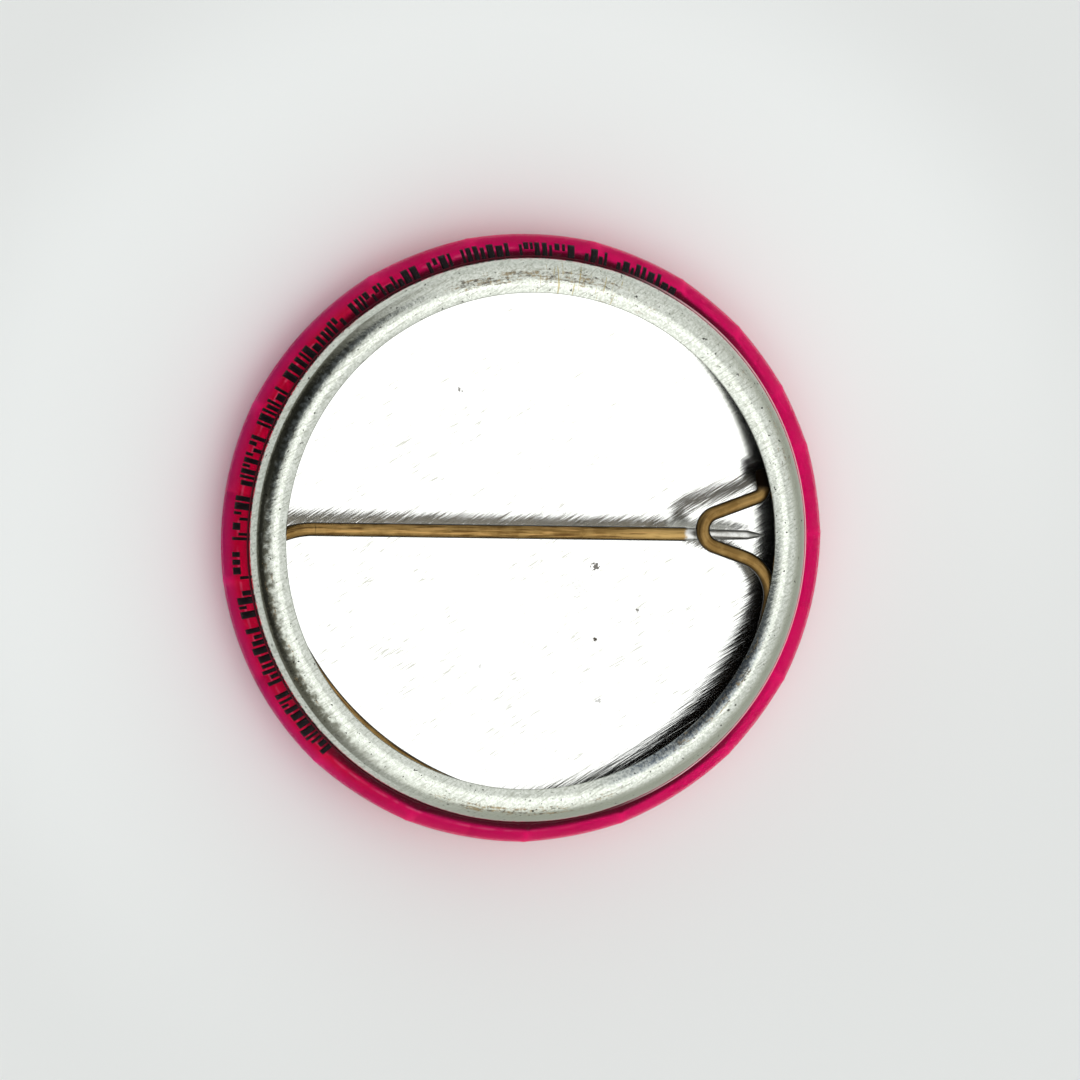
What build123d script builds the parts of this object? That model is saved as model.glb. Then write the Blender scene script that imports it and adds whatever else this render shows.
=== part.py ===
"""Pin-back button badge, lying on its printed front with the pin side up.

Millimetres.  The origin is the middle of the front's face, +Z points out of the back,
+X runs along the closed pin from its root to its point, and +Y is across the pin.
"""
import os
from math import cos, radians, sin, sqrt

from build123d import *

# --- driving dimensions -------------------------------------------------------------------
OUTER_RADIUS = 19.05        # a 1 1/2 inch badge
EDGE_RADIUS = 2.1           # roundness of the folded edge, measured on the film
EDGE_HEIGHT = 2.7           # height of the widest level above the front's face
FACE_RADIUS = 6.0           # the front is flat this far out, and domed from there
FILM = 0.08
PAPER = 0.12
TINPLATE = 0.28             # front shell and collet are pressed from the same sheet

COLLET_WALL_RADIUS = 17.65  # outside of the collet's upright wall
CREST_RADIUS = 1.45         # outside of the collet's rolled top
CREST_HEIGHT = 4.7          # centre of that roll
LIP_ANGLE = 120.0           # the roll ends this far round, counted from the wall

WIRE_RADIUS = 0.44
HOOP_HEIGHT = 5.2           # the hoop's centreline, just under the collet's lip
HOOP_NEAR_ROOT = (16.3, 190.0)       # radius and angle where the hoop leaves the root bend
HOOP_FLAT = (15.62, 218.0)           # the flattened stretch that shows inside the lip
HOOP_BACK_OUT = (15.95, 256.0)
HOOP_NEAR_CATCH = (15.90, 345.0)
ROOT_BEND = 5.2             # centreline radii of the wire's bends
ROOT_HIDDEN_BEND = 1.5
CATCH_FOOT_BEND = 2.6
CATCH_TIP_BEND = 1.1
CATCH_TAIL_BEND = 0.7

PIN_Y = 0.5                 # the pin lies this far to one side of the centre
PIN_SLOPE = 1.65            # degrees that the pin dips towards its point
ROOT_END_X = -13.60         # the hoop's wire stops here and the flexing stretch begins
HINGE_X = -13.00            # where the pin bends
POINT_X = 15.10             # the sharp end
GRIND_START_X = 10.15       # the bare ground stretch begins here
ROOT_NECK = 0.42            # the wire is necked to this radius where it bends
CUT_GAP = 0.03              # between the wire's stretches, which are one wire on the real badge

# --- worked out ---------------------------------------------------------------------------
EDGE_CENTRE = (OUTER_RADIUS - EDGE_RADIUS, EDGE_HEIGHT)
# the dome's arc runs tangent out of the flat face and tangent into the folded edge
DOME_RADIUS = ((EDGE_CENTRE[0] - FACE_RADIUS) ** 2 + EDGE_HEIGHT ** 2 - EDGE_RADIUS ** 2) / (
    2 * (EDGE_HEIGHT - EDGE_RADIUS)
)
CREST_CENTRE = (COLLET_WALL_RADIUS - CREST_RADIUS, CREST_HEIGHT)
PIN_DIRECTION = Vector(cos(radians(PIN_SLOPE)), 0, -sin(radians(PIN_SLOPE)))


def polar(radius, angle, height):
    """A point given by its distance from the badge's axis and its angle from +X."""
    return Vector(radius * cos(radians(angle)), radius * sin(radians(angle)), height)


def around(centre, radius, angle):
    """A point of a profile circle, in the (distance from the axis, height) plane."""
    return (centre[0] + radius * cos(radians(angle)), centre[1] + radius * sin(radians(angle)))


def where_edge_meets_wall(radius):
    """The top of an edge circle, where it runs into the collet's upright wall."""
    across = COLLET_WALL_RADIUS - EDGE_CENTRE[0]
    return (COLLET_WALL_RADIUS, EDGE_CENTRE[1] + sqrt(radius ** 2 - across ** 2))


def dome_and_edge(depth):
    """The corners of one face of the front, `depth` below the film's outer face."""
    dome, edge = DOME_RADIUS - depth, EDGE_RADIUS - depth
    centre = (FACE_RADIUS, DOME_RADIUS)
    away = Vector(EDGE_CENTRE[0] - centre[0], EDGE_CENTRE[1] - centre[1]).normalized()
    middle = Vector(away.X, away.Y - 1).normalized()
    return {
        "pole": (0, depth),
        "face_end": (FACE_RADIUS, depth),
        "dome_middle": (centre[0] + dome * middle.X, centre[1] + dome * middle.Y),
        "tangent": (centre[0] + dome * away.X, centre[1] + dome * away.Y),
        "widest": (EDGE_CENTRE[0] + edge, EDGE_CENTRE[1]),
        "top": where_edge_meets_wall(edge),
    }


def pressed_layer(name, depth, thickness):
    """One layer of the front as a part: flat face, dome, and a fold up round the edge."""
    outer, inner = dome_and_edge(depth), dome_and_edge(depth + thickness)
    with BuildPart() as layer:
        with BuildSketch(Plane.XZ):
            with BuildLine():
                Line(outer["pole"], outer["face_end"])
                ThreePointArc(outer["face_end"], outer["dome_middle"], outer["tangent"])
                ThreePointArc(outer["tangent"], outer["widest"], outer["top"])
                Line(outer["top"], inner["top"])
                ThreePointArc(inner["top"], inner["widest"], inner["tangent"])
                ThreePointArc(inner["tangent"], inner["dome_middle"], inner["face_end"])
                Line(inner["face_end"], inner["pole"])
                Line(inner["pole"], outer["pole"])
            make_face()
        revolve(axis=Axis.Z)
    layer.part.label = name
    return layer.part


# --- the front: film over paper over the tinned shell ---------------------------------------
clear_film = pressed_layer("clear_film", 0, FILM)
printed_paper = pressed_layer("printed_paper", FILM, PAPER)
front_shell = pressed_layer("front_shell", FILM + PAPER, TINPLATE)

# --- collet: rolled ring whose foot is trapped under the shell's curled edge -----------------
foot_outer = EDGE_RADIUS - FILM - PAPER - TINPLATE
foot_inner = foot_outer - TINPLATE
crest_inner = CREST_RADIUS - TINPLATE
inner_wall = COLLET_WALL_RADIUS - TINPLATE
foot_bend = sqrt(foot_inner ** 2 - (inner_wall - EDGE_CENTRE[0]) ** 2)
FOOT_MIDDLE = 32.0

with BuildPart() as collet_ring:
    with BuildSketch(Plane.XZ):
        with BuildLine():
            ThreePointArc(
                around(CREST_CENTRE, CREST_RADIUS, LIP_ANGLE),
                around(CREST_CENTRE, CREST_RADIUS, LIP_ANGLE / 2),
                around(CREST_CENTRE, CREST_RADIUS, 0),
            )
            Line(around(CREST_CENTRE, CREST_RADIUS, 0), where_edge_meets_wall(foot_outer))
            ThreePointArc(
                where_edge_meets_wall(foot_outer),
                around(EDGE_CENTRE, foot_outer, FOOT_MIDDLE),
                around(EDGE_CENTRE, foot_outer, 0),
            )
            Line(around(EDGE_CENTRE, foot_outer, 0), around(EDGE_CENTRE, foot_inner, 0))
            ThreePointArc(
                around(EDGE_CENTRE, foot_inner, 0),
                around(EDGE_CENTRE, foot_inner, FOOT_MIDDLE),
                (inner_wall, EDGE_CENTRE[1] + foot_bend),
            )
            Line((inner_wall, EDGE_CENTRE[1] + foot_bend), (inner_wall, CREST_HEIGHT))
            ThreePointArc(
                (inner_wall, CREST_HEIGHT),
                around(CREST_CENTRE, crest_inner, LIP_ANGLE / 2),
                around(CREST_CENTRE, crest_inner, LIP_ANGLE),
            )
            Line(
                around(CREST_CENTRE, crest_inner, LIP_ANGLE),
                around(CREST_CENTRE, CREST_RADIUS, LIP_ANGLE),
            )
        make_face()
    revolve(axis=Axis.Z)
collet_ring.part.label = "collet_ring"

# --- spring wire: hoop under the lip, V catch and short tail ---------------------------------
hoop_start = polar(*HOOP_NEAR_ROOT, HOOP_HEIGHT)
hoop_end = polar(*HOOP_NEAR_CATCH, HOOP_HEIGHT)

CATCH_FOOT_RUN = 2.6        # from the hoop's end to the corner of the catch's lower leg
CATCH_CORNER = Vector(8.75, 0.83, HOOP_HEIGHT + 0.50)    # where the two legs' lines cross
TAIL_CORNER = Vector(14.86, 3.08, HOOP_HEIGHT)
TAIL_END = Vector(14.86, 4.50, HOOP_HEIGHT - 0.60)
ROOT_CORNER = Vector(-14.55, PIN_Y, HOOP_HEIGHT)         # the gentle bend in sight of the lip
ROOT_HIDDEN_Y = -0.35                                    # the sharper bend under the lip

with BuildPart() as spring_hoop:
    with BuildLine() as wire_line:
        flat = ThreePointArc(
            hoop_start, polar(*HOOP_FLAT, HOOP_HEIGHT), polar(*HOOP_BACK_OUT, HOOP_HEIGHT)
        )
        back_round = TangentArc(flat @ 1, hoop_end, tangent=flat % 1)
        leaving, arriving = flat % 0, back_round % 1
        hidden_corner = hoop_start + leaving * ((ROOT_HIDDEN_Y - hoop_start.Y) / leaving.Y)
        FilletPolyline(
            (ROOT_END_X, PIN_Y, HOOP_HEIGHT),
            ROOT_CORNER,
            hidden_corner,
            hoop_start,
            radius=(ROOT_BEND, ROOT_HIDDEN_BEND),
        )
        FilletPolyline(
            hoop_end,
            hoop_end + arriving * CATCH_FOOT_RUN,
            CATCH_CORNER,
            TAIL_CORNER,
            TAIL_END,
            radius=(CATCH_FOOT_BEND, CATCH_TIP_BEND, CATCH_TAIL_BEND),
        )
    with BuildSketch(Plane((ROOT_END_X, PIN_Y, HOOP_HEIGHT), z_dir=(-1, 0, 0))):
        Circle(WIRE_RADIUS)
    sweep()
spring_hoop.part.label = "spring_hoop"

# --- the flexing stretch: a short root and the pin itself ------------------------------------
hinge = Vector(HINGE_X, PIN_Y, HOOP_HEIGHT)
root_length = HINGE_X - ROOT_END_X - CUT_GAP
along_pin = Plane(hinge, z_dir=PIN_DIRECTION)
STANDING = (Align.CENTER, Align.CENTER, Align.MIN)

with BuildPart(along_pin) as pin_root:
    with Locations((0, 0, -root_length)):
        Cone(WIRE_RADIUS, ROOT_NECK, root_length, align=STANDING)
    Sphere(ROOT_NECK)
pin_root.part.label = "pin_root"

pin_length = (POINT_X - HINGE_X) / PIN_DIRECTION.X
grind_start = (GRIND_START_X - HINGE_X) / PIN_DIRECTION.X
GROUND_RADII = ((0, WIRE_RADIUS), (1.75, 0.36), (4.20, 0.30), (pin_length - grind_start, 0.03))

with BuildPart(along_pin) as pin_arm:
    Cylinder(WIRE_RADIUS, grind_start, align=STANDING)
    for (start, thick), (end, thin) in zip(GROUND_RADII, GROUND_RADII[1:]):
        with Locations((0, 0, grind_start + start)):
            Cone(thick, thin, end - start, align=STANDING)
    Sphere(WIRE_RADIUS + CUT_GAP, mode=Mode.SUBTRACT)
pin_arm.part.label = "pin_arm"

# --- write one file for each piece -----------------------------------------------------------
os.makedirs("parts", exist_ok=True)
for piece in (
    clear_film,
    printed_paper,
    front_shell,
    collet_ring.part,
    spring_hoop.part,
    pin_root.part,
    pin_arm.part,
):
    export_step(piece, f"parts/{piece.label}.step")
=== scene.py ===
"""Looks for the pin-back button badge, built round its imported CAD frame.

Sizes here are millimetres on the real badge and are turned into metres where a mesh is made.
"""

import math
import random

import bpy
from mathutils import Matrix, Vector


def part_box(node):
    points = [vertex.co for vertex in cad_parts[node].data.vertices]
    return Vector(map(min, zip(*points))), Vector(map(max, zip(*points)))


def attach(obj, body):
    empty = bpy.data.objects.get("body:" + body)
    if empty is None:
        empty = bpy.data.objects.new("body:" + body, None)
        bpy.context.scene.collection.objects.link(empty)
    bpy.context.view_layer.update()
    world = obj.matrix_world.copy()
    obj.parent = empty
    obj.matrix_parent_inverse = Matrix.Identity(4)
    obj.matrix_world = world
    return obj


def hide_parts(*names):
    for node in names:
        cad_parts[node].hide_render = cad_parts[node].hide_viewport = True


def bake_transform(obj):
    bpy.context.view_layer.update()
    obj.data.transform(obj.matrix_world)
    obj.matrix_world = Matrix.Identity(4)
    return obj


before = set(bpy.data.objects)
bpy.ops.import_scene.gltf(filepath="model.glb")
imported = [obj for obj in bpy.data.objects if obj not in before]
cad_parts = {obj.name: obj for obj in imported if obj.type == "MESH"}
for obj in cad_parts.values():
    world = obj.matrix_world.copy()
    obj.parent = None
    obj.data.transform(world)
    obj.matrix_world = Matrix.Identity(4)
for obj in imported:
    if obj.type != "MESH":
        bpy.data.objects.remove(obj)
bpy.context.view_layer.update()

MM = 0.001
OUTER_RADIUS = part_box("clear_film")[1].x / MM
CREST_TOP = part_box("collet_ring")[1].z / MM


def polar(radius, angle, height=0.0):
    """A point from its distance to the badge's axis and its angle from +X in degrees."""
    turn = math.radians(angle)
    return Vector((radius * math.cos(turn), radius * math.sin(turn), height))


# ------------------------------------------------------------------ the badge's own sizes
EDGE_RADIUS = 2.1
EDGE_HEIGHT = 2.7
EDGE_CENTRE = (OUTER_RADIUS - EDGE_RADIUS, EDGE_HEIGHT)
FACE_RADIUS = 6.0
FILM, PAPER, TINPLATE = 0.08, 0.12, 0.28
WALL_RADIUS = 17.65
CREST_RADIUS = 1.45
CREST_CENTRE = (WALL_RADIUS - CREST_RADIUS, CREST_TOP - CREST_RADIUS)
LIP_ANGLE = 120.0
DOME_RADIUS = (
    (EDGE_CENTRE[0] - FACE_RADIUS) ** 2 + EDGE_HEIGHT ** 2 - EDGE_RADIUS ** 2
) / (2 * (EDGE_HEIGHT - EDGE_RADIUS))

WIRE_RADIUS = 0.44
HOOP_HEIGHT = 5.2
PIN_Y = 0.5
HINGE = Vector((-13.00, PIN_Y, HOOP_HEIGHT))
ROOT_END_X = -13.60
PIN_SLOPE = math.radians(1.65)
PIN_DIRECTION = Vector((math.cos(PIN_SLOPE), 0, -math.sin(PIN_SLOPE)))
POINT_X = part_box("pin_arm")[1].x / MM
GRIND_START_X = 10.15


# ------------------------------------------------------------------ meshes
def mesh_object(name, points, faces, flat=()):
    """A smooth-shaded object from points in millimetres, with some faces shaded flat."""
    mesh = bpy.data.meshes.new(name)
    mesh.from_pydata([Vector(p) * MM for p in points], [], faces)
    mesh.validate()
    mesh.shade_smooth()
    for index in flat:
        mesh.polygons[index].use_smooth = False
    piece = bpy.data.objects.new(name, mesh)
    bpy.context.scene.collection.objects.link(piece)
    return piece


def arc(centre, radius, start, end, steps):
    """Points of a profile arc, from one angle to another, both included."""
    angles = [math.radians(start + (end - start) * i / steps) for i in range(steps + 1)]
    return [(centre[0] + radius * math.cos(a), centre[1] + radius * math.sin(a)) for a in angles]


def lathe(name, profile, around=720, shift=None):
    """Turns a closed profile round the badge's axis.  A profile that touches the axis is open there.

    shift(angle in degrees, profile index) gives a small (radial, height) move of that point.
    """
    points, rows = [], []
    for index, (radius, height) in enumerate(profile):
        if radius < 1e-6:
            rows.append([len(points)] * around)
            points.append((0, 0, height))
            continue
        rows.append(list(range(len(points), len(points) + around)))
        for step in range(around):
            angle = 360 * step / around
            out, up = shift(angle, index) if shift else (0, 0)
            points.append(polar(radius + out, angle, height + up))
    touches_axis = profile[0][0] < 1e-6 and profile[-1][0] < 1e-6
    pairs = list(zip(rows, rows[1:])) + ([] if touches_axis else [(rows[-1], rows[0])])
    faces = []
    for low, high in pairs:
        for step in range(around):
            after = (step + 1) % around
            corners = [low[step], low[after], high[after], high[step]]
            face = list(dict.fromkeys(corners))
            if len(face) > 2:
                faces.append(face)
    return mesh_object(name, points, faces)


DRAWN_ROUND, DRAWN_ALONG = 1.6, 0.22    # how fast the wire's marks change round it and along it


def tube(name, centreline, radius_at, flow=1, sides=32):
    """A wire along a centreline, with its radius given by radius_at(index).

    The attribute "drawn" runs quickly round the wire and slowly along it, for lengthwise marks.
    With a flow of -1 it runs backwards, so that marks carry on across two wires' meeting ends.
    The attribute "rest" holds each point where it lies at rest, so that a finish stays put on
    the wire when the wire moves or bends.
    """
    tangents = []
    for i in range(len(centreline)):
        before, after = centreline[max(i - 1, 0)], centreline[min(i + 1, len(centreline) - 1)]
        tangents.append((after - before).normalized())
    side = Vector((0, 0, 1))
    points, faces, drawn, travelled = [], [], [], 0.0
    for i, (centre, tangent) in enumerate(zip(centreline, tangents)):
        travelled += (centre - centreline[max(i - 1, 0)]).length
        side = (side - tangent * side.dot(tangent)).normalized()
        other = tangent.cross(side)
        for k in range(sides):
            turn = 2 * math.pi * k / sides
            points.append(centre + (side * math.cos(turn) + other * math.sin(turn)) * radius_at(i))
            drawn += [DRAWN_ROUND * math.cos(turn), DRAWN_ROUND * math.sin(turn) * flow,
                      travelled * DRAWN_ALONG * flow]
    for i in range(len(centreline) - 1):
        for k in range(sides):
            a, b = i * sides + k, i * sides + (k + 1) % sides
            faces.append((a, b, b + sides, a + sides))
    faces.append(tuple(reversed(range(sides))))
    faces.append(tuple(range(len(points) - sides, len(points))))
    wire = mesh_object(name, points, faces, flat=(len(faces) - 2, len(faces) - 1))
    wire.data.attributes.new("drawn", "FLOAT_VECTOR", "POINT").data.foreach_set("vector", drawn)
    rest = [number for point in points for number in point]
    wire.data.attributes.new("rest", "FLOAT_VECTOR", "POINT").data.foreach_set("vector", rest)
    return wire


# ------------------------------------------------------------------ node helpers
def material(name, **sockets):
    """A new Principled material with these socket values, its node tree and its shader."""
    made = bpy.data.materials.new(name)
    made.use_nodes = True
    tree = made.node_tree
    shader = tree.nodes["Principled BSDF"]
    for socket, value in sockets.items():
        shader.inputs[socket.replace("_", " ")].default_value = value
    return made, tree, shader


def put(tree, socket, value):
    """Sets a socket to a number or colour, or links it to another node's output."""
    if isinstance(value, bpy.types.NodeSocket):
        tree.links.new(value, socket)
    else:
        socket.default_value = value


def math_node(tree, operation, first, second=0.0, third=None):
    node = tree.nodes.new("ShaderNodeMath")
    node.operation = operation
    put(tree, node.inputs[0], first)
    put(tree, node.inputs[1], second)
    if third is not None:
        put(tree, node.inputs[2], third)
    return node.outputs[0]


def position(tree, turn=0.0, stretch=(1, 1, 1)):
    """The point in the badge's own frame, in millimetres, turned about Z and then stretched."""
    place = tree.nodes.new("ShaderNodeTexCoord").outputs["Object"]
    turned = tree.nodes.new("ShaderNodeMapping")
    turned.vector_type = "POINT"
    put(tree, turned.inputs["Vector"], place)
    turned.inputs["Rotation"].default_value = (0, 0, math.radians(turn))
    turned.inputs["Scale"].default_value = (1 / MM, 1 / MM, 1 / MM)
    sized = tree.nodes.new("ShaderNodeMapping")
    put(tree, sized.inputs["Vector"], turned.outputs["Vector"])
    sized.inputs["Scale"].default_value = stretch
    return sized.outputs["Vector"]


def noise(tree, vector, scale, detail=3.0, roughness=0.55):
    node = tree.nodes.new("ShaderNodeTexNoise")
    put(tree, node.inputs["Vector"], vector)
    node.inputs["Scale"].default_value = scale
    node.inputs["Detail"].default_value = detail
    node.inputs["Roughness"].default_value = roughness
    return node.outputs["Fac"]


def spread(tree, value, low, high, to_low=0.0, to_high=1.0):
    """Maps low..high to to_low..to_high, smoothly and held at the ends."""
    node = tree.nodes.new("ShaderNodeMapRange")
    node.interpolation_type = "SMOOTHSTEP"
    put(tree, node.inputs["Value"], value)
    for socket, number in (
        ("From Min", low), ("From Max", high), ("To Min", to_low), ("To Max", to_high)
    ):
        node.inputs[socket].default_value = number
    return node.outputs["Result"]


def mix(tree, factor, first, second):
    node = tree.nodes.new("ShaderNodeMix")
    node.data_type = "RGBA"
    put(tree, node.inputs["Factor"], factor)
    put(tree, node.inputs["A"], first)
    put(tree, node.inputs["B"], second)
    return node.outputs["Result"]


def bump(tree, shader, height, distance, strength=1.0):
    """Gives the shader a bump of `distance` millimetres."""
    node = tree.nodes.new("ShaderNodeBump")
    node.inputs["Strength"].default_value = strength
    node.inputs["Distance"].default_value = distance * MM
    put(tree, node.inputs["Height"], height)
    tree.links.new(node.outputs["Normal"], shader.inputs["Normal"])


def blacken(tree, shader, where):
    """Takes all shine away where this is 1; a metal would still shine at a glancing angle."""
    put(tree, shader.inputs["Metallic"], math_node(tree, "SUBTRACT", 1.0, where))
    put(tree, shader.inputs["Specular IOR Level"],
        math_node(tree, "MULTIPLY_ADD", where, -0.5, 0.5))


def attribute(tree, name):
    """A vector that tube() stored on the wire's points."""
    node = tree.nodes.new("ShaderNodeAttribute")
    node.attribute_name = name
    return node.outputs["Vector"]


def cylindrical(tree, point=None):
    """The point's X, Y, height and distance from the badge's axis, in millimetres."""
    parts = tree.nodes.new("ShaderNodeSeparateXYZ")
    put(tree, parts.inputs[0], point or position(tree))
    x, y, height = parts.outputs
    total = math_node(tree, "MULTIPLY_ADD", x, x, math_node(tree, "MULTIPLY", y, y))
    return x, y, height, math_node(tree, "SQRT", total)


def ringwise(tree, place, along, across):
    """A noise vector that varies `along` per radian round the badge and `across` per millimetre out."""
    x, y, _, radius = place
    node = tree.nodes.new("ShaderNodeCombineXYZ")
    for socket, value in ((0, x), (1, y)):
        put(tree, node.inputs[socket],
            math_node(tree, "MULTIPLY", math_node(tree, "DIVIDE", value, radius), along))
    put(tree, node.inputs[2], math_node(tree, "MULTIPLY", radius, across))
    return node.outputs[0]


def sector(tree, place, angle, reach, middle, half_width):
    """1 near this angle and this distance from the axis, falling to 0; `reach` is in degrees."""
    x, y, _, radius = place
    turn = math.radians(angle)
    along = math_node(tree, "MULTIPLY_ADD", x, math.cos(turn),
                      math_node(tree, "MULTIPLY", y, math.sin(turn)))
    facing = math_node(tree, "DIVIDE", along, radius)
    near = spread(tree, facing, math.cos(math.radians(reach)), math.cos(math.radians(reach * 0.4)))
    off = math_node(tree, "ABSOLUTE", math_node(tree, "SUBTRACT", radius, middle))
    return math_node(tree, "MULTIPLY", near, spread(tree, off, half_width * 0.5, half_width, 1.0, 0.0))


# ------------------------------------------------------------------ materials
BRUSHING = -33.0            # turning by this lays the rolling marks along X

# x, y, size and darkness of small nicks in the shell
NICKS = (
    (5.2, -1.9, 0.26, 0.9), (5.3, -6.4, 0.14, 1.0), (8.0, -4.6, 0.12, 0.8), (-3.7, 9.1, 0.20, 0.8),
    (4.1, -3.0, 0.55, 0.25), (-2.0, -8.2, 0.20, 0.35), (-3.2, 8.6, 0.45, 0.2), (5.6, -10.2, 0.16, 0.5),
)


def nicked(tree, colour):
    """The shell's colour with its small dark nicks."""
    x, y, _, _ = cylindrical(tree)
    ragged = noise(tree, position(tree), 7.0, 2.0)
    for nick_x, nick_y, size, darkness in NICKS:
        aside = math_node(tree, "SUBTRACT", x, nick_x)
        beyond = math_node(tree, "SUBTRACT", y, nick_y)
        total = math_node(tree, "MULTIPLY_ADD", aside, aside, math_node(tree, "MULTIPLY", beyond, beyond))
        away = math_node(tree, "SUBTRACT", math_node(tree, "SQRT", total), size * 2.5)
        away = math_node(tree, "MULTIPLY_ADD", ragged, size * 5, away)
        mark = spread(tree, away, size * 0.5, size * 0.9, darkness, 0.0)
        colour = mix(tree, mark, colour, (0.06, 0.05, 0.04, 1))
    return colour


def shell_material():
    """Bright tinplate with the fine diagonal marks of the rolled sheet, and a few nicks."""
    made, tree, shader = material("shell_tinplate", Metallic=1.0, Roughness=0.11)
    fine = noise(tree, position(tree, BRUSHING, (0.6, 11.0, 1.0)), 1.0, 2.0, 0.5)
    coarse = noise(tree, position(tree, BRUSHING, (0.15, 1.6, 1.0)), 1.0, 2.0)
    marks = math_node(tree, "MULTIPLY_ADD", coarse, 2.6, fine)
    bump(tree, shader, marks, 0.0054)
    cloud = noise(tree, position(tree, BRUSHING, (0.12, 0.5, 1.0)), 1.0, 3.0)
    colour = mix(tree, cloud, (0.86, 0.87, 0.84, 1), (0.95, 0.95, 0.93, 1))
    scratch = spread(tree, noise(tree, position(tree, BRUSHING, (0.9, 9.0, 1.0)), 1.0, 2.0), 0.585, 0.68)
    thin_out = spread(tree, noise(tree, position(tree), 0.35, 2.0), 0.34, 0.58)
    colour = mix(tree, math_node(tree, "MULTIPLY", scratch, math_node(tree, "MULTIPLY", thin_out, 0.8)),
                 colour, (0.44, 0.44, 0.38, 1))
    put(tree, shader.inputs["Base Color"], nicked(tree, colour))
    return made


# rubbed spots: angle, reach in degrees, distance from the axis, half width, strength
WORN = (
    (266, 22, 16.85, 0.40, 1.0),
    (288, 14, 16.6, 0.35, 0.7),
    (92, 26, 16.55, 0.60, 1.0),
    (70, 12, 16.2, 0.95, 0.6),
    (200, 26, 16.8, 0.5, 0.7),
    (322, 26, 15.85, 0.5, 0.9),
    (25, 24, 16.9, 0.5, 0.6),
)


def banded(tree, place, colour, streaks):
    """The collet's colour with painted shade on its outside by the catch, and streaks of the rolled
    sheet.
    """
    x, y, _, radius = place
    # painted shade: the collet's outside is darkened towards +X and -Y, on the catch's side
    painted_shade_side = spread(tree, math_node(tree, "MULTIPLY_ADD", y, -0.7, x), -3, 12, 0, 0.95)
    outer = math_node(tree, "MULTIPLY", spread(tree, radius, 16.55, 17.1), painted_shade_side)
    colour = mix(tree, outer, colour, (0.38, 0.40, 0.325, 1))
    return mix(tree, math_node(tree, "MULTIPLY", spread(tree, streaks, 0.52, 0.65), 0.5),
               colour, (0.34, 0.35, 0.29, 1))


def with_painted_reflections(tree, place, colour, grain, dents):
    """The collet's colour with a painted dark reflection by the pin's root and a painted bluish
    reflection across from it.
    """
    x, _, _, radius = place
    uneven = math_node(tree, "MULTIPLY_ADD", grain, 0.5, dents)
    ragged = math_node(tree, "MULTIPLY_ADD", uneven, 1.3, math_node(tree, "SUBTRACT", radius, 0.98))
    # painted reflection: a dark olive band on the crest's outer shoulder by the pin's root stands for the
    # dark surroundings reflected there
    painted_dark_reflection = math_node(tree, "MULTIPLY", spread(tree, ragged, 16.35, 16.95),
                        spread(tree, radius, 17.26, 17.34, 1.0, 0.0))
    painted_dark_reflection = math_node(tree, "MULTIPLY", painted_dark_reflection, spread(tree, x, -14, -5, 0.88, 0.0))
    colour = mix(tree, painted_dark_reflection, colour, (0.055, 0.052, 0.026, 1))
    # painted reflection: a bluish patch on the inner slope near the lip, across from the root, stands for
    # the dark figure reflected there
    painted_figure_reflection = sector(tree, place, 316, 32, 15.72, 0.50)
    painted_figure_reflection = math_node(tree, "MULTIPLY", painted_figure_reflection, spread(tree, grain, 0.36, 0.56, 1.0, 0.55))
    return mix(tree, math_node(tree, "MULTIPLY", painted_figure_reflection, 0.85), colour, (0.10, 0.135, 0.19, 1))


def rubbed_through(tree, place):
    """1 where handling has rubbed the collet's tin through, mostly in the worn spots."""
    lines = noise(tree, ringwise(tree, place, 15, 6), 1.0, 4.0, 0.7)
    spots = math_node(tree, "MULTIPLY", noise(tree, position(tree), 4.5, 5.0, 0.8), 0.45)
    blotches = math_node(tree, "MULTIPLY_ADD", lines, 0.55, spots)
    worn = 0.0
    for angle, reach, middle, half_width, amount in WORN:
        spot = math_node(tree, "MULTIPLY", sector(tree, place, angle, reach, middle, half_width), amount)
        worn = math_node(tree, "MAXIMUM", worn, spot)
    return spread(tree, math_node(tree, "MULTIPLY_ADD", worn, 0.15, blotches), 0.62, 0.72)


def scratched(tree, place, colour):
    """The collet's colour with brassy scratches across it near +Y, and black pits all round."""
    radial = spread(tree, noise(tree, ringwise(tree, place, 120, 0.7), 1.0, 2.0), 0.60, 0.68)
    where = math_node(tree, "MAXIMUM", sector(tree, place, 84, 9, 16.4, 1.5),
                      sector(tree, place, 74, 6, 16.1, 1.6))
    colour = mix(tree, math_node(tree, "MULTIPLY", math_node(tree, "MULTIPLY", radial, where), 0.7),
                 colour, (0.42, 0.34, 0.13, 1))
    pits = spread(tree, noise(tree, position(tree), 4.2, 2.0), 0.685, 0.705)
    return mix(tree, pits, colour, (0.03, 0.028, 0.022, 1))


def painted_shade_inside_roll(tree, place):
    """1 on the side of the rolled sheet that faces the wire, where the collet's shade is painted, and 0
    on its outside.
    """
    _, _, height, radius = place
    over = math_node(tree, "MAXIMUM", math_node(tree, "SUBTRACT", height, CREST_CENTRE[1]), 0.0)
    across = math_node(tree, "SUBTRACT", radius, CREST_CENTRE[0])
    total = math_node(tree, "MULTIPLY_ADD", over, over, math_node(tree, "MULTIPLY", across, across))
    skin = CREST_RADIUS - TINPLATE
    return spread(tree, math_node(tree, "SQRT", total), skin + 0.02, skin + 0.10, 1.0, 0.0)


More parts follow.
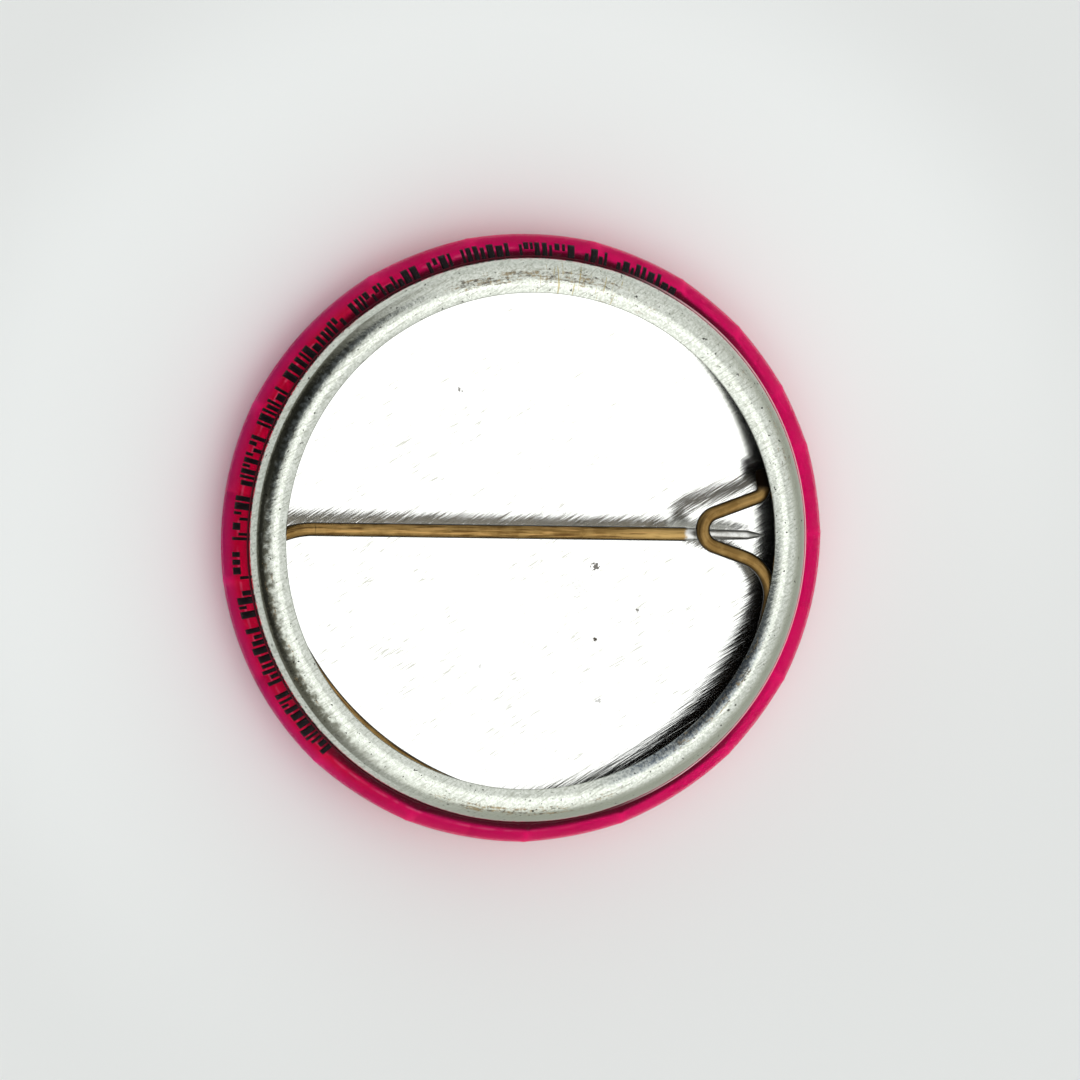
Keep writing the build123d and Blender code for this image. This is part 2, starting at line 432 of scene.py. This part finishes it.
def collet_material():
    """Bright tinplate rubbed dull in places, with pits and brown spotting, painted dark reflections,
    painted shade on its outside by the catch and painted shade on its inside.
    """
    made, tree, shader = material("collet_tinplate", Metallic=1.0)
    place = cylindrical(tree)
    grain = noise(tree, position(tree), 6.0, 3.0, 0.6)
    dents = noise(tree, position(tree), 2.8, 2.0, 0.5)
    streaks = noise(tree, position(tree, BRUSHING, (0.9, 8.0, 2.0)), 1.0, 3.0)
    relief = math_node(tree, "MULTIPLY_ADD", streaks, 0.4, grain)
    relief = math_node(tree, "MULTIPLY_ADD", dents, 1.5, relief)
    bump(tree, shader, relief, 0.0085)
    colour = mix(tree, spread(tree, grain, 0.35, 0.65), (0.57, 0.60, 0.53, 1), (0.77, 0.795, 0.73, 1))
    colour = banded(tree, place, colour, streaks)
    colour = with_painted_reflections(tree, place, colour, grain, dents)
    rubbed = rubbed_through(tree, place)
    rust = mix(tree, spread(tree, dents, 0.42, 0.58), (0.30, 0.22, 0.11, 1), (0.09, 0.07, 0.05, 1))
    colour = mix(tree, math_node(tree, "MULTIPLY", rubbed, 0.85), colour, rust)
    colour = scratched(tree, place, colour)
    inside = painted_shade_inside_roll(tree, place)
    # painted shade: the inside of the roll, under the lip, is coloured near black and given no shine
    put(tree, shader.inputs["Base Color"], mix(tree, inside, colour, (0.004, 0.004, 0.0035, 1)))
    blacken(tree, shader, inside)
    dull = math_node(tree, "MULTIPLY_ADD", rubbed, 0.2, spread(tree, grain, 0.3, 0.7, 0.08, 0.16))
    put(tree, shader.inputs["Roughness"], math_node(tree, "MULTIPLY_ADD", inside, 0.4, dull))
    return made


def paper_material():
    """Hot pink print, redder up against the collet on the pin's root side, under a tight film's shine,
    with painted shade against the collet at top and bottom, a painted purple reflection low on the root
    side and a painted highlight line.
    """
    made, tree, shader = material(
        "pink_print", Roughness=0.5, Specular_IOR_Level=0.05, Coat_Weight=0.10,
        Coat_Roughness=0.06, Coat_IOR=1.4,
    )
    x, y, height, radius = cylindrical(tree)
    mottle = noise(tree, position(tree), 3.0, 4.0, 0.7)
    colour = mix(tree, mottle, (0.90, 0.0004, 0.125, 1), (0.99, 0.001, 0.165, 1))
    root_side = spread(tree, x, -14, -5, 1.0, 0.0)
    # painted reflection: the rim turns purple low down on the pin's root side, standing for the table
    # reflected in the film
    colour = mix(tree, math_node(tree, "MULTIPLY", root_side, spread(tree, height, 2.6, 3.9, 0.6, 0.0)),
                 colour, (0.78, 0.0004, 0.27, 1))
    colour = mix(tree, math_node(tree, "MULTIPLY", root_side, spread(tree, height, 3.7, 4.25, 0.0, 0.85)),
                 colour, (0.85, 0.0003, 0.035, 1))
    # painted shade: a dark band on the print next to the collet, strongest at top and bottom (along Y)
    across = math_node(tree, "DIVIDE", math_node(tree, "ABSOLUTE", y), radius)
    painted_crevice_shade = math_node(tree, "MULTIPLY", spread(tree, across, 0.35, 0.85, 0.0, 0.95),
                        spread(tree, height, 4.30, 4.50))
    colour = mix(tree, painted_crevice_shade, colour, (0.08, 0.0, 0.010, 1))
    # painted highlight: a thin pale line round the rim, on the pin's root side
    painted_highlight_line = math_node(tree, "ABSOLUTE", math_node(tree, "SUBTRACT", radius, 18.22))
    painted_highlight_line = math_node(tree, "MULTIPLY", spread(tree, painted_highlight_line, 0.02, 0.10, 0.40, 0.0),
                      spread(tree, noise(tree, position(tree), 1.2, 2.0), 0.40, 0.58))
    painted_highlight_line = math_node(tree, "MULTIPLY", painted_highlight_line, spread(tree, x, -2, 6, 1.0, 0.0))
    colour = mix(tree, painted_highlight_line, colour, (1.0, 0.16, 0.34, 1))
    put(tree, shader.inputs["Base Color"], colour)
    bump(tree, shader, noise(tree, position(tree), 14.0, 3.0), 0.002, 0.5)
    return made


def film_material():
    """Clear glossy film: almost nothing but its shine."""
    made, tree, shader = material(
        "clear_film", Roughness=0.06, IOR=1.5, Alpha=0.03, Base_Color=(0.02, 0.001, 0.004, 1)
    )
    bump(tree, shader, noise(tree, position(tree), 0.9, 2.0), 0.010, 0.6)
    made.surface_render_method = "BLENDED"
    return made


def painted_edge_material():
    """The film's cut edge: a painted pale highlight on the catch's side and painted shade elsewhere."""
    made, tree, shader = material("film_edge", Roughness=0.4, Specular_IOR_Level=0.1)
    x, _, _, _ = cylindrical(tree)
    # painted highlight and shade: the edge is pale towards +X and dark elsewhere
    put(tree, shader.inputs["Base Color"],
        mix(tree, spread(tree, x, 5, 11), (0.10, 0.008, 0.018, 1), (0.92, 0.50, 0.56, 1)))
    return made


def ink_material():
    """Black print with specks where the pink shows through."""
    made, tree, shader = material(
        "black_ink", Roughness=0.5, Specular_IOR_Level=0.1, Coat_Weight=0.12, Coat_Roughness=0.1
    )
    speckle = noise(tree, position(tree), 16.0, 3.0, 0.7)
    put(tree, shader.inputs["Base Color"],
        mix(tree, spread(tree, speckle, 0.55, 0.75), (0.002, 0.0008, 0.002, 1), (0.05, 0.001, 0.012, 1)))
    return made


def wire_material(name, rubbed=0.0):
    """Bronze-coloured drawn wire, streaked lengthwise, with painted shade at its sides and painted grey
    underneath for a grey reflection in the shell.

    Its streaks are fainter at the catch, and painted shade makes it black under the collet's lip and on
    its tail.
    `rubbed` is how much paler it gets towards the point.
    """
    made, tree, shader = material(name, Metallic=1.0, Roughness=0.40)
    rest = attribute(tree, "rest")
    streak = noise(tree, attribute(tree, "drawn"), 2.2, 2.0, 0.5)
    blotch = noise(tree, rest, 1.1, 4.0, 0.65)
    x, y, _, radius = cylindrical(tree, rest)
    contrast = spread(tree, x, 7.0, 10.0, 0.75, 0.25)
    bronze = mix(tree, spread(tree, blotch, 0.38, 0.64),
                 (0.224, 0.132, 0.040, 1), (0.327, 0.205, 0.070, 1))
    bronze = mix(tree, spread(tree, x, 4.0, 8.0, 0.0, rubbed), bronze, (0.62, 0.41, 0.15, 1))
    bright = math_node(tree, "MULTIPLY", spread(tree, streak, 0.52, 0.68), contrast)
    bronze = mix(tree, bright, bronze, (0.56, 0.33, 0.12, 1))
    dark = math_node(tree, "MULTIPLY", spread(tree, streak, 0.36, 0.47, 1.0, 0.0), contrast)
    bronze = mix(tree, dark, bronze, (0.09, 0.042, 0.012, 1))
    normal = tree.nodes.new("ShaderNodeSeparateXYZ")
    put(tree, normal.inputs[0], tree.nodes.new("ShaderNodeNewGeometry").outputs["Normal"])
    # painted reflection: the wire's underside is turned grey so that its reflection in the shell looks
    # grey
    below = spread(tree, normal.outputs[2], -0.6, -0.1, 0.85, 0.0)
    bronze = mix(tree, below, bronze, (0.27, 0.26, 0.235, 1))
    # painted shade: the wire is coloured near black and given no shine under the collet's lip and along
    # its tail
    tail = math_node(tree, "MULTIPLY", spread(tree, y, 3.2, 3.7), spread(tree, x, 12.0, 13.5))
    hidden = math_node(tree, "MAXIMUM", spread(tree, radius, 15.42, 15.62), tail)
    bronze = mix(tree, hidden, bronze, (0.008, 0.005, 0.003, 1))
    blacken(tree, shader, hidden)
    # painted shade: the wire's sides, turned away from the view, are darkened
    facing = tree.nodes.new("ShaderNodeLayerWeight")
    facing.inputs["Blend"].default_value = 0.5
    side = spread(tree, facing.outputs["Facing"], 0.34, 0.60)
    bronze = mix(tree, side, bronze, (0.012, 0.007, 0.003, 1))
    put(tree, shader.inputs["Base Color"], bronze)
    bump(tree, shader, streak, 0.010, 0.8)
    return made, tree, shader, bronze, blotch


def pin_material():
    """The pin's own copy of the wire finish, with its bare ground point."""
    made, tree, shader, bronze, blotch = wire_material("bronzed_wire_ground", rubbed=0.6)
    x, _, _, _ = cylindrical(tree, attribute(tree, "rest"))
    ragged = math_node(tree, "MULTIPLY_ADD", blotch, 0.9, x)
    bare = spread(tree, ragged, GRIND_START_X + 0.2, GRIND_START_X + 0.6)
    steel = mix(tree, spread(tree, blotch, 0.4, 0.6), (0.62, 0.62, 0.58, 1), (0.90, 0.90, 0.87, 1))
    put(tree, shader.inputs["Base Color"], mix(tree, bare, bronze, steel))
    return made


# ------------------------------------------------------------------ printed front
PLEATS = (                  # angles
    2, 19, 31, 45, 59, 77.5, 102, 122, 155, 189, 228, 249, 272, 291, 315.5, 333,
)
PLEAT_RISE = 0.075          # how far the skin stands proud at a pleat, above mid-way between pleats
CREASE_RISE = 0.035         # of the sharp crease along each pleat
CREASE_WIDTH = 0.45         # degrees


def pleat_height(angle):
    """How far the folded skin stands out at this angle: flats between pleats, a crease at each."""
    for start, end in zip(PLEATS, PLEATS[1:] + (PLEATS[0] + 360,)):
        along = (angle - start) % 360
        span = end - start
        if along < span:
            share = along / span
            flat = PLEAT_RISE * (2 * share - 1) ** 2 * min(1.0, span / 20)
            nearest = min(along, span - along)
            return flat + CREASE_RISE * math.exp(-((nearest / CREASE_WIDTH) ** 2))
    return 0.0


def skin_face(depth):
    """One face of a folded layer, from the pole out and round the edge to the collet's wall."""
    dome, edge = DOME_RADIUS - depth, EDGE_RADIUS - depth
    lean = math.degrees(math.atan2(EDGE_CENTRE[1] - DOME_RADIUS, EDGE_CENTRE[0] - FACE_RADIUS))
    top = math.degrees(math.acos((WALL_RADIUS - EDGE_CENTRE[0]) / edge))
    flat = [(FACE_RADIUS * i / 6, depth) for i in range(6)]
    face = flat + arc((FACE_RADIUS, DOME_RADIUS), dome, -90, lean, 20)
    return face + arc(EDGE_CENTRE, edge, lean, top, 44)[1:]


def folded_layer(name, depth, thickness, pleated):
    """A pressed layer of the front.  The skins' pleats grow from nothing in front to full behind."""
    outer, inner = skin_face(depth), skin_face(depth + thickness)
    count = len(outer)
    profile = outer + inner[::-1]
    profile[0], profile[-1] = (0.0, profile[0][1]), (0.0, profile[-1][1])
    centre = Vector(EDGE_CENTRE)

    def shift(angle, index):
        along = (index if index < count else 2 * count - 1 - index) / (count - 1)
        grow = max(0.0, (along - 0.45) / 0.55) ** 0.7
        away = (Vector(profile[index]) - centre).normalized()
        return away * pleat_height(angle) * grow

    return lathe(name, profile, shift=shift if pleated else None)


# ------------------------------------------------------------------ collet
def collet_profile():
    """The rolled ring's section, with its cut lip rounded over."""
    foot_outer = EDGE_RADIUS - FILM - PAPER - TINPLATE
    foot_inner = foot_outer - TINPLATE
    inside = CREST_RADIUS - TINPLATE
    across_outer = WALL_RADIUS - EDGE_CENTRE[0]
    across_inner = across_outer - TINPLATE
    outer_top = math.degrees(math.acos(across_outer / foot_outer))
    inner_top = math.degrees(math.acos(across_inner / foot_inner))
    lip = (
        CREST_CENTRE[0] + (CREST_RADIUS - TINPLATE / 2) * math.cos(math.radians(LIP_ANGLE)),
        CREST_CENTRE[1] + (CREST_RADIUS - TINPLATE / 2) * math.sin(math.radians(LIP_ANGLE)),
    )
    profile = arc(CREST_CENTRE, CREST_RADIUS, LIP_ANGLE, 0, 48)
    profile += arc(EDGE_CENTRE, foot_outer, outer_top, 0, 12)
    profile += arc(EDGE_CENTRE, foot_inner, 0, inner_top, 12)
    profile += arc(CREST_CENTRE, inside, 0, LIP_ANGLE, 36)
    profile += arc(lip, TINPLATE / 2, LIP_ANGLE + 180, LIP_ANGLE + 360, 8)[1:-1]
    return profile


COLLET_WAVE = 0.002         # the most for each wave, per millimetre above the folded edge's middle


def collet_piece():
    """The collet, its crest waving up and down very slightly as a pressed ring's does."""
    profile = collet_profile()
    waves = random.Random(5)
    terms = [(n, waves.uniform(-1, 1), waves.uniform(0, 360)) for n in (3, 5, 8, 13, 21)]

    def shift(angle, index):
        wave = sum(size * math.sin(math.radians(n * angle + phase)) for n, size, phase in terms)
        height = profile[index][1] - EDGE_HEIGHT
        return 0.0, COLLET_WAVE * wave * max(0.0, height)

    return lathe("collet_rolled_ring", profile, shift=shift)


# ------------------------------------------------------------------ spring wire
def arc_through(start, middle, end, steps):
    """Points of the level arc through three points."""
    ax, ay, bx, by, cx, cy = start.x, start.y, middle.x, middle.y, end.x, end.y
    d = 2 * (ax * (by - cy) + bx * (cy - ay) + cx * (ay - by))
    a2, b2, c2 = ax * ax + ay * ay, bx * bx + by * by, cx * cx + cy * cy
    centre = Vector((
        (a2 * (by - cy) + b2 * (cy - ay) + c2 * (ay - by)) / d,
        (a2 * (cx - bx) + b2 * (ax - cx) + c2 * (bx - ax)) / d,
        start.z,
    ))
    first = math.atan2(ay - centre.y, ax - centre.x)
    turn = (math.atan2(cy - centre.y, cx - centre.x) - first) % (2 * math.pi)
    radius = (start - centre).length
    points = []
    for i in range(steps + 1):
        angle = first + turn * i / steps
        points.append(centre + Vector((math.cos(angle), math.sin(angle), 0)) * radius)
    tangent = [Vector((-math.sin(a), math.cos(a), 0)) for a in (first, first + turn)]
    return points, tangent[0], tangent[1]


def arc_leaving(start, direction, end, steps):
    """Points of the level arc that leaves start along direction and reaches end."""
    chord = end - start
    normal = Vector((-direction.y, direction.x, 0))
    radius = chord.length_squared / (2 * chord.dot(normal))
    centre = start + normal * radius
    middle_way = (start + end) / 2 - centre
    middle = centre + middle_way.normalized() * abs(radius)
    return arc_through(start, middle, end, steps)


def rounded(points, radii, steps=14):
    """The polyline through these points with each inner corner rounded to its radius."""
    path = [points[0]]
    for before, corner, after, radius in zip(points, points[1:], points[2:], radii):
        back, on = (before - corner).normalized(), (after - corner).normalized()
        half = back.angle(on) / 2
        reach = radius / math.tan(half)
        centre = corner + (back + on).normalized() * (radius / math.sin(half))
        first, last = corner + back * reach - centre, corner + on * reach - centre
        path += [centre + first.slerp(last, i / steps) * radius for i in range(steps + 1)]
    return path + [points[-1]]


def evenly(path, step):
    """The path with points added so that none is further than step from the next."""
    dense = [path[0]]
    for a, b in zip(path, path[1:]):
        pieces = max(1, math.ceil((b - a).length / step))
        dense += [a.lerp(b, i / pieces) for i in range(1, pieces + 1)]
    return dense


HOOP_NEAR_ROOT = polar(16.3, 190.0, HOOP_HEIGHT)
HOOP_FLAT = polar(15.62, 218.0, HOOP_HEIGHT)         # the flattened stretch that shows
HOOP_BACK_OUT = polar(15.95, 256.0, HOOP_HEIGHT)
HOOP_NEAR_CATCH = polar(15.90, 345.0, HOOP_HEIGHT)
ROOT_BENDS = (5.2, 1.5)                              # centreline radii of the wire's bends
CATCH_BENDS = (2.6, 1.1, 0.7)
ROOT_CORNER = Vector((-14.55, PIN_Y, HOOP_HEIGHT))
ROOT_HIDDEN_Y = -0.35
CATCH_FOOT_RUN = 2.6
CATCH_CORNER = Vector((8.75, 0.83, HOOP_HEIGHT + 0.50))
TAIL_CORNER = Vector((14.86, 3.08, HOOP_HEIGHT))
TAIL_END = Vector((14.86, 4.50, HOOP_HEIGHT - 0.60))
WIRE_STEP = 0.25


def hoop_centreline():
    """Root, flattened hoop, V catch and tail, as one run of wire."""
    flat, leaving, onward = arc_through(HOOP_NEAR_ROOT, HOOP_FLAT, HOOP_BACK_OUT, 50)
    round_back, _, arriving = arc_leaving(HOOP_BACK_OUT, onward, HOOP_NEAR_CATCH, 70)
    hidden = HOOP_NEAR_ROOT + leaving * ((ROOT_HIDDEN_Y - HOOP_NEAR_ROOT.y) / leaving.y)
    root_end = Vector((ROOT_END_X, PIN_Y, HOOP_HEIGHT))
    root = rounded([root_end, ROOT_CORNER, hidden, HOOP_NEAR_ROOT], ROOT_BENDS)
    foot = HOOP_NEAR_CATCH + arriving * CATCH_FOOT_RUN
    catch = rounded([HOOP_NEAR_CATCH, foot, CATCH_CORNER, TAIL_CORNER, TAIL_END], CATCH_BENDS)
    return evenly(root[:-1] + flat[:-1] + round_back[:-1] + catch, WIRE_STEP)


def hoop_piece():
    """The hoop's wire, its marks running on from the pin's."""
    return tube("spring_hoop_wire", hoop_centreline(), lambda i: WIRE_RADIUS, flow=-1)


# distance from the start of the grinding, and the pin's radius there
GROUND = ((0.0, 0.44), (1.75, 0.35), (3.90, 0.29), (4.60, 0.13), (4.95, 0.02))

TUCK, TUCK_INSET = 0.02, 0.04       # the pin's end lies this far inside the hoop's end
FINE_STEP, COARSE_STEP = 0.06, 0.4  # along the stretch that bends, and along the straight
FINE_TO = 3                         # from the hinge
POINT_STEPS = 60


def pin_piece():
    """The pin from the root to its point, in one piece that bends at its root."""
    length = (POINT_X - HINGE.x) / PIN_DIRECTION.x
    ground_from = (GRIND_START_X - HINGE.x) / PIN_DIRECTION.x
    ground = length - ground_from
    start = ROOT_END_X - HINGE.x
    steps = [start - TUCK]
    steps += [start + i * FINE_STEP for i in range(int((FINE_TO - start) / FINE_STEP))]
    steps += [FINE_TO + i * COARSE_STEP for i in range(int((ground_from - FINE_TO) / COARSE_STEP))]
    steps += [ground_from + i * ground / POINT_STEPS for i in range(POINT_STEPS + 1)]

    def radius(i):
        if i == 0:
            return WIRE_RADIUS - TUCK_INSET
        into = (steps[i] - ground_from) / ground * GROUND[-1][0]
        if into <= 0:
            return WIRE_RADIUS
        for (a, thick), (b, thin) in zip(GROUND, GROUND[1:]):
            if into <= b + 1e-6:
                return thick + (thin - thick) * (into - a) / (b - a)
        return GROUND[-1][1]

    path = [HINGE + (PIN_DIRECTION if s > 0 else Vector((1, 0, 0))) * s for s in steps]
    return tube("spring_pin_wire", path, radius)


BEAD_RADIUS = 0.045


def film_edge():
    """The film's trimmed edge, a thin round bead where it meets the collet."""
    height = EDGE_HEIGHT + math.sqrt(EDGE_RADIUS ** 2 - (WALL_RADIUS - EDGE_CENTRE[0]) ** 2)
    profile = arc((WALL_RADIUS + BEAD_RADIUS, height + 0.01), BEAD_RADIUS, 0, 330, 11)
    return lathe("film_trimmed_edge", profile, around=360)


# ------------------------------------------------------------------ printed marks on the rim
MARKS_FROM, MARKS_TO = 60.0, 228.0      # angles
MARK_PROUD, MARK_SUNK = 0.004, -0.03    # a bar's top and underside, from the paper's face
GROUP_GAP = 1.8                         # degrees more between groups of bars


def bar(start, width, low, high):
    """Points and faces of one closed bar on the folded edge, its angles in degrees."""
    rows, columns = 6, 3
    points, faces = [], []
    for lift in (MARK_PROUD, MARK_SUNK):
        for row in range(rows + 1):
            lean = math.radians(low + (high - low) * row / rows)
            for column in range(columns + 1):
                here = start + width * column / columns
                out = EDGE_RADIUS - FILM + lift + pleat_height(here)
                points.append(polar(EDGE_CENTRE[0] + out * math.cos(lean), here,
                                    EDGE_HEIGHT + out * math.sin(lean)))
    step, below = columns + 1, (rows + 1) * (columns + 1)
    for row in range(rows):
        for column in range(columns):
            a = row * step + column
            top = (a, a + 1, a + step + 1, a + step)
            faces += [top, tuple(below + corner for corner in reversed(top))]
    rim = list(range(step)) + [r * step + columns for r in range(1, rows + 1)]
    rim += [rows * step + c for c in range(columns - 1, -1, -1)]
    rim += [r * step for r in range(rows - 1, 0, -1)]
    for a, b in zip(rim, rim[1:] + rim[:1]):
        faces.append((b, a, a + below, b + below))
    return points, faces


def rim_marks():
    """Plain short bars round part of the rim, where a badge carries small print."""
    pick = random.Random(11)
    points, faces = [], []
    angle, bars_left = MARKS_FROM, 9
    while angle < MARKS_TO:
        width = pick.choice((0.6, 0.8, 1.0, 1.4))
        low, high = pick.choice(((39, 69), (39, 69), (39, 69), (39, 55), (52, 69), (44, 69)))
        more_points, more_faces = bar(angle, width, low, high)
        faces += [tuple(corner + len(points) for corner in face) for face in more_faces]
        points += more_points
        bars_left -= 1
        angle += width + pick.choice((0.3, 0.4, 0.5))
        if not bars_left:
            angle += GROUP_GAP
            bars_left = pick.choice((4, 7, 9, 12))
    return mesh_object("rim_print_marks", points, faces)


# ------------------------------------------------------------------ stage, light and camera
TABLE_REACH = 700


def floor():
    """A large pale table top, with painted light beside the badge but not on its -Y side."""
    made, tree, shader = material("pale_table", Roughness=0.6)
    cloud = noise(tree, position(tree), 0.02, 3.0)
    # painted light: the table is paler round the badge, except on its -Y side
    near = sector(tree, cylindrical(tree), 115, 170, 19.0, 24.0)
    put(tree, shader.inputs["Base Color"],
        mix(tree, near, mix(tree, cloud, (0.87, 0.888, 0.876, 1), (0.89, 0.903, 0.893, 1)),
            (0.965, 0.99, 0.98, 1)))
    bump(tree, shader, noise(tree, position(tree), 1.5, 3.0), 0.01, 0.3)
    reach = TABLE_REACH
    corners = [(-reach, -reach, 0), (reach, -reach, 0), (reach, reach, 0), (-reach, reach, 0)]
    top = mesh_object("table_top", corners, [(0, 1, 2, 3)])
    top.data.materials.append(made)


SOFTBOX_PLACE = Vector((77, -26, 392))
SOFTBOX_RADIUS = 96
SOFTBOX_RADIANCE = 0.44


def softbox():
    """A round soft light above the badge, aimed at its middle."""
    lamp = bpy.data.lights.new("overhead_softbox", "AREA")
    lamp.shape = "DISK"
    lamp.size = 2 * SOFTBOX_RADIUS * MM
    lamp.energy = SOFTBOX_RADIANCE * math.pi ** 2 * (SOFTBOX_RADIUS * MM) ** 2
    light = bpy.data.objects.new("overhead_softbox", lamp)
    bpy.context.scene.collection.objects.link(light)
    light.location = SOFTBOX_PLACE * MM
    light.rotation_mode = "QUATERNION"
    light.rotation_quaternion = (-SOFTBOX_PLACE).to_track_quat("-Z", "Y")


def sky():
    """A bright soft room with someone dark leaning over the badge from between -X and +Y."""
    world = bpy.data.worlds.new("room")
    bpy.context.scene.world = world
    world.use_nodes = True
    tree = world.node_tree
    background = tree.nodes["Background"]
    way = tree.nodes.new("ShaderNodeTexCoord").outputs["Generated"]
    parts = tree.nodes.new("ShaderNodeSeparateXYZ")
    put(tree, parts.inputs[0], way)
    up = parts.outputs[2]

    def towards(tilt, azimuth):
        """How closely a direction points at this tilt from the zenith and this azimuth."""
        aim = polar(math.sin(math.radians(tilt)), azimuth, math.cos(math.radians(tilt)))
        total = math_node(tree, "MULTIPLY", up, aim.z)
        total = math_node(tree, "MULTIPLY_ADD", parts.outputs[0], aim.x, total)
        return math_node(tree, "MULTIPLY_ADD", parts.outputs[1], aim.y, total)

    light = mix(tree, spread(tree, up, 0.05, 0.8), (0.80, 0.81, 0.80, 1), (0.935, 0.945, 0.94, 1))
    front = spread(tree, towards(36, 270), 0.79, 0.96)
    light = mix(tree, front, light, (1.36, 1.37, 1.36, 1))
    band = math_node(tree, "MULTIPLY", spread(tree, up, 0.14, 0.24),
                     spread(tree, up, 0.50, 0.86, 1.0, 0.0))
    band = math_node(tree, "MULTIPLY", band, spread(tree, towards(68, 176), 0.60, 0.88, 0.0, 0.85))
    person = spread(tree, towards(36, 146), 0.88, 0.975)
    light = mix(tree, math_node(tree, "MULTIPLY", person, 0.92), light, (0.05, 0.06, 0.075, 1))
    put(tree, background.inputs["Color"], mix(tree, band, light, (0.012, 0.011, 0.009, 1)))


VIEW_TILT, VIEW_AZIMUTH, VIEW_ROLL = 11.75, 161.6, 1.6
VIEW_DISTANCE = 1200.0
LENS, SENSOR_WIDTH = 641.36666, 36.0
AIM = Vector((0, 0, 2.4))
AIM_RIGHT, AIM_DOWN = 1.234863, 0.162154    # the view's middle lies this far from AIM


def camera():
    """A long lens, tilted a little towards the pin's root."""
    back = polar(math.sin(math.radians(VIEW_TILT)), VIEW_AZIMUTH, math.cos(math.radians(VIEW_TILT)))
    right = (-back).cross(Vector((0, 1, 0))).normalized()
    right = Matrix.Rotation(math.radians(VIEW_ROLL), 3, back) @ right
    above = back.cross(right)
    data = bpy.data.cameras.new("camera")
    data.sensor_width = SENSOR_WIDTH
    data.lens = LENS
    data.clip_start, data.clip_end = 0.01, 100
    made = bpy.data.objects.new("camera", data)
    bpy.context.scene.collection.objects.link(made)
    turn = Matrix((right, above, back)).transposed().to_4x4()
    place = AIM + back * VIEW_DISTANCE + right * AIM_RIGHT - above * AIM_DOWN
    made.matrix_world = Matrix.Translation(place * MM) @ turn
    bpy.context.scene.camera = made


# ------------------------------------------------------------------ put together
camera()
sky()
floor()
softbox()
bpy.context.scene.view_settings.view_transform = "Standard"


def dress(piece, body, slot, finish, *nodes):
    """Gives a piece its material and body, and hides the CAD nodes it stands for; slot is not used."""
    piece.data.materials.append(finish)
    if nodes:
        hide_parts(*nodes)
    if body:
        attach(piece, body)
    return piece


dress(folded_layer("clear_film_skin", 0, FILM, True), "badge", "clear_film",
      film_material(), "clear_film")
dress(folded_layer("printed_paper_skin", FILM, PAPER, True), "badge", "printed_paper",
      paper_material(), "printed_paper")
dress(folded_layer("front_shell_pressing", FILM + PAPER, TINPLATE, False), "badge", "shell_tinplate",
      shell_material(), "front_shell")
dress(collet_piece(), "badge", "collet_tinplate", collet_material(), "collet_ring")
dress(film_edge(), "badge", "clear_film", painted_edge_material())
dress(rim_marks(), "badge", "printed_paper", ink_material())
dress(hoop_piece(), "wire_hoop", "bronzed_wire", wire_material("bronzed_wire")[0], "spring_hoop")

pin = dress(pin_piece(), None, "bronzed_wire", pin_material(), "pin_root", "pin_arm")
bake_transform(pin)
